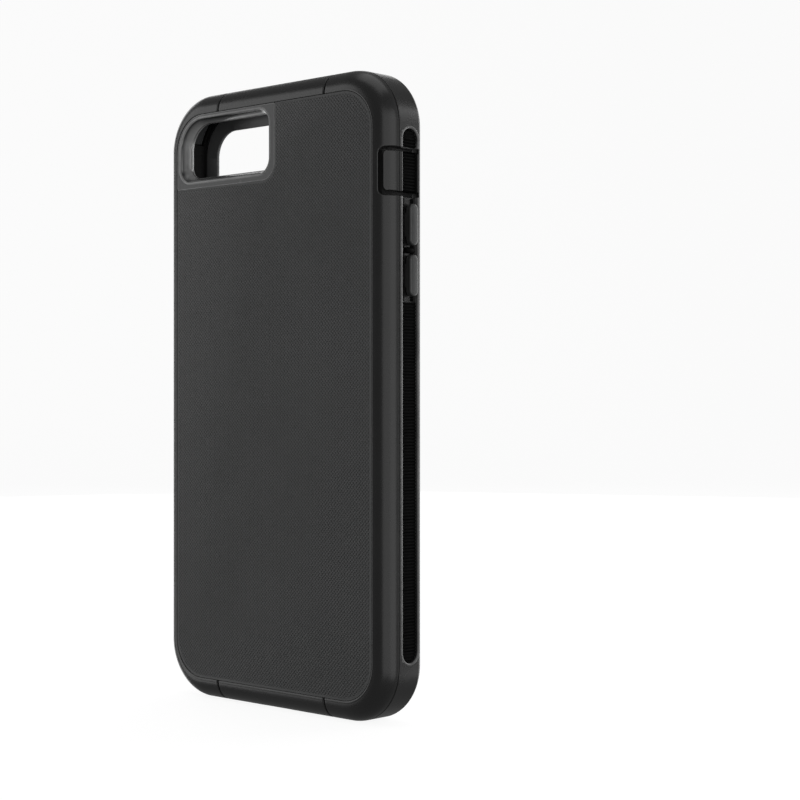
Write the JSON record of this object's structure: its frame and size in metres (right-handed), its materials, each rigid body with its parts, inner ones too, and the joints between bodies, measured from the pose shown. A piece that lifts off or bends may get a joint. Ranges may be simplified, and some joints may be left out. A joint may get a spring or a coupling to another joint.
{
  "type": "phone case",
  "caption": "Rugged snap-together phone case: hard tray with rubber bumper, textured back, camera cut-out, side keys, switch flap and a front frame that lifts off.",
  "frame": {"origin": "centre of the bottom end, on the plane the case stands on, midway across its width and depth", "axes": "+Z along the height towards the camera end, -Y out of the rear face, +Y out of the screen side, +X towards the side with the volume keys and the switch flap"},
  "size_m": [0.0866, 0.014, 0.166],
  "materials": {
    "bumper_rubber": "satin moulded",
    "panel_plastic": "fine diagonal texture",
    "tray_plastic": "satin",
    "frame_plastic": "satin",
    "grip_rubber": "matte, ribbed",
    "key_plastic": "satin",
    "pad_foam": "napped",
    "gel_rubber": "matte"
  },
  "bodies": {
    "back_half": {"rear_panel": "panel_plastic", "camera_surround": "key_plastic", "side_rail_right": "bumper_rubber", "side_rail_left": "bumper_rubber", "top_cap": "bumper_rubber", "bottom_cap": "bumper_rubber", "inner_tray": "tray_plastic", "back_pad": "pad_foam", "corner_cushion_bottom_left": "gel_rubber", "corner_cushion_bottom_right": "gel_rubber", "corner_cushion_top_left": "gel_rubber", "corner_cushion_top_right": "gel_rubber", "grip_strip_right_lower": "grip_rubber", "grip_strip_right_upper": "grip_rubber", "grip_strip_left_lower": "grip_rubber", "grip_strip_left_upper": "grip_rubber", "volume_key_base": "grip_rubber", "power_key_base": "grip_rubber"},
    "switch_flap": {"switch_flap": "bumper_rubber", "switch_flap_grip": "grip_rubber"},
    "volume_up_key": {"volume_up_button": "key_plastic"},
    "volume_down_key": {"volume_down_button": "key_plastic"},
    "power_key": {"power_button": "key_plastic"},
    "front_half": {"front_rim": "tray_plastic", "front_frame": "frame_plastic"}
  },
  "joints": [
    {"name": "switch_flap_hinge", "type": "hinge", "parent": "back_half", "child": "switch_flap", "pos_m": [0.0424, 0.0053, 0.13925], "axis": [0, 0, 1], "range_deg": [0, 90], "stiffness_Nm_per_rad": 0.002},
    {"name": "volume_up_press", "type": "slide", "parent": "back_half", "child": "volume_up_key", "axis": [-1, 0, 0], "range_m": [0, 0.0005], "stiffness_N_per_m": 800},
    {"name": "volume_down_press", "type": "slide", "parent": "back_half", "child": "volume_down_key", "axis": [-1, 0, 0], "range_m": [0, 0.0005], "stiffness_N_per_m": 800},
    {"name": "power_press", "type": "slide", "parent": "back_half", "child": "power_key", "axis": [1, 0, 0], "range_m": [0, 0.0005], "stiffness_N_per_m": 800},
    {"name": "front_release", "type": "slide", "parent": "back_half", "child": "front_half", "axis": [0, 1, 0], "range_m": [0, 0.03]}
  ]
}
